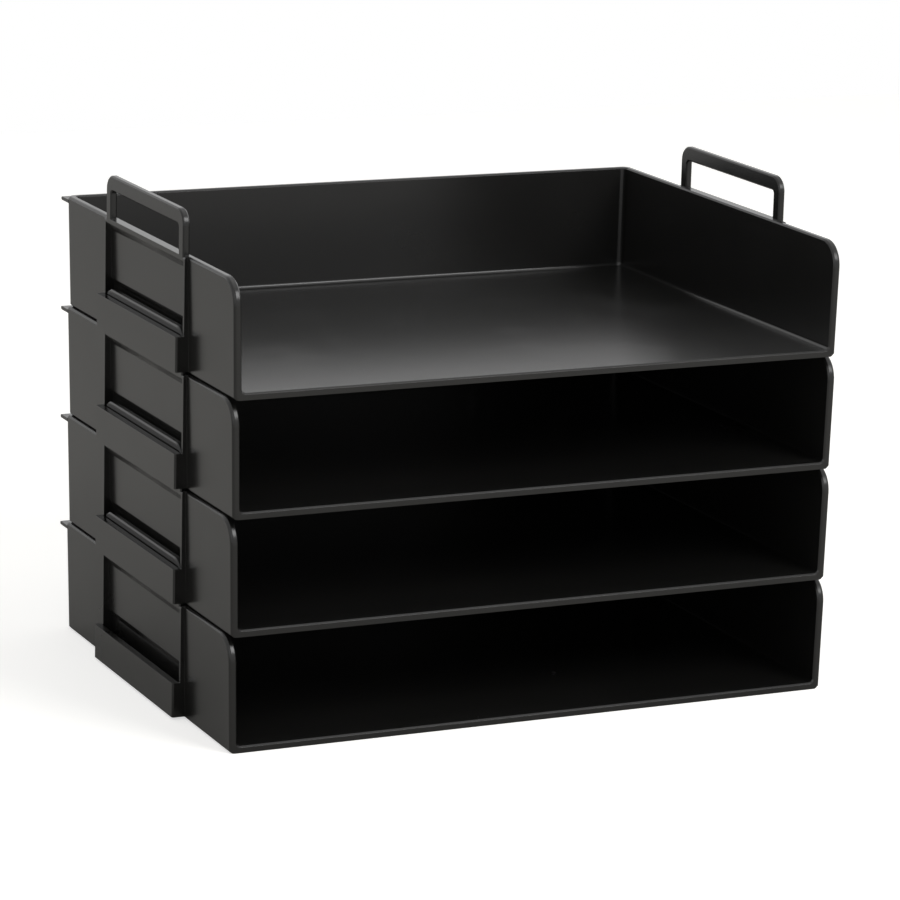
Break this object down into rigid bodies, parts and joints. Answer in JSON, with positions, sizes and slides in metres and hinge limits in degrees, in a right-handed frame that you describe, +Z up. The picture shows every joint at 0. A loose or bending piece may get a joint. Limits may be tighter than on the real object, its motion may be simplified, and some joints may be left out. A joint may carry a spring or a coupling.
{
  "type": "stack of letter trays",
  "caption": "Open-front letter trays that stack rim to floor; loop handles on each tray slide into side pockets of the tray above and lift off freely.",
  "frame": {"origin": "middle of the stack's footprint, on the surface that it stands on", "axes": "+Z up, -Y towards the open fronts, +X to the right as seen from the front"},
  "size_m": [0.3468, 0.25, 0.2614],
  "materials": {
    "tray_plastic": "satin charcoal black moulded plastic"
  },
  "bodies": {
    "bottom_tray": {"tray_1": "tray_plastic"},
    "second_tray": {"tray_2": "tray_plastic"},
    "third_tray": {"tray_3": "tray_plastic"},
    "top_tray": {"tray_4": "tray_plastic"}
  },
  "joints": [
    {"name": "second_tray_lift", "type": "slide", "parent": "bottom_tray", "child": "second_tray", "axis": [0, 0, 1], "range_m": [0, 0.06]},
    {"name": "third_tray_lift", "type": "slide", "parent": "second_tray", "child": "third_tray", "axis": [0, 0, 1], "range_m": [0, 0.06]},
    {"name": "top_tray_lift", "type": "slide", "parent": "third_tray", "child": "top_tray", "axis": [0, 0, 1], "range_m": [0, 0.06]}
  ]
}
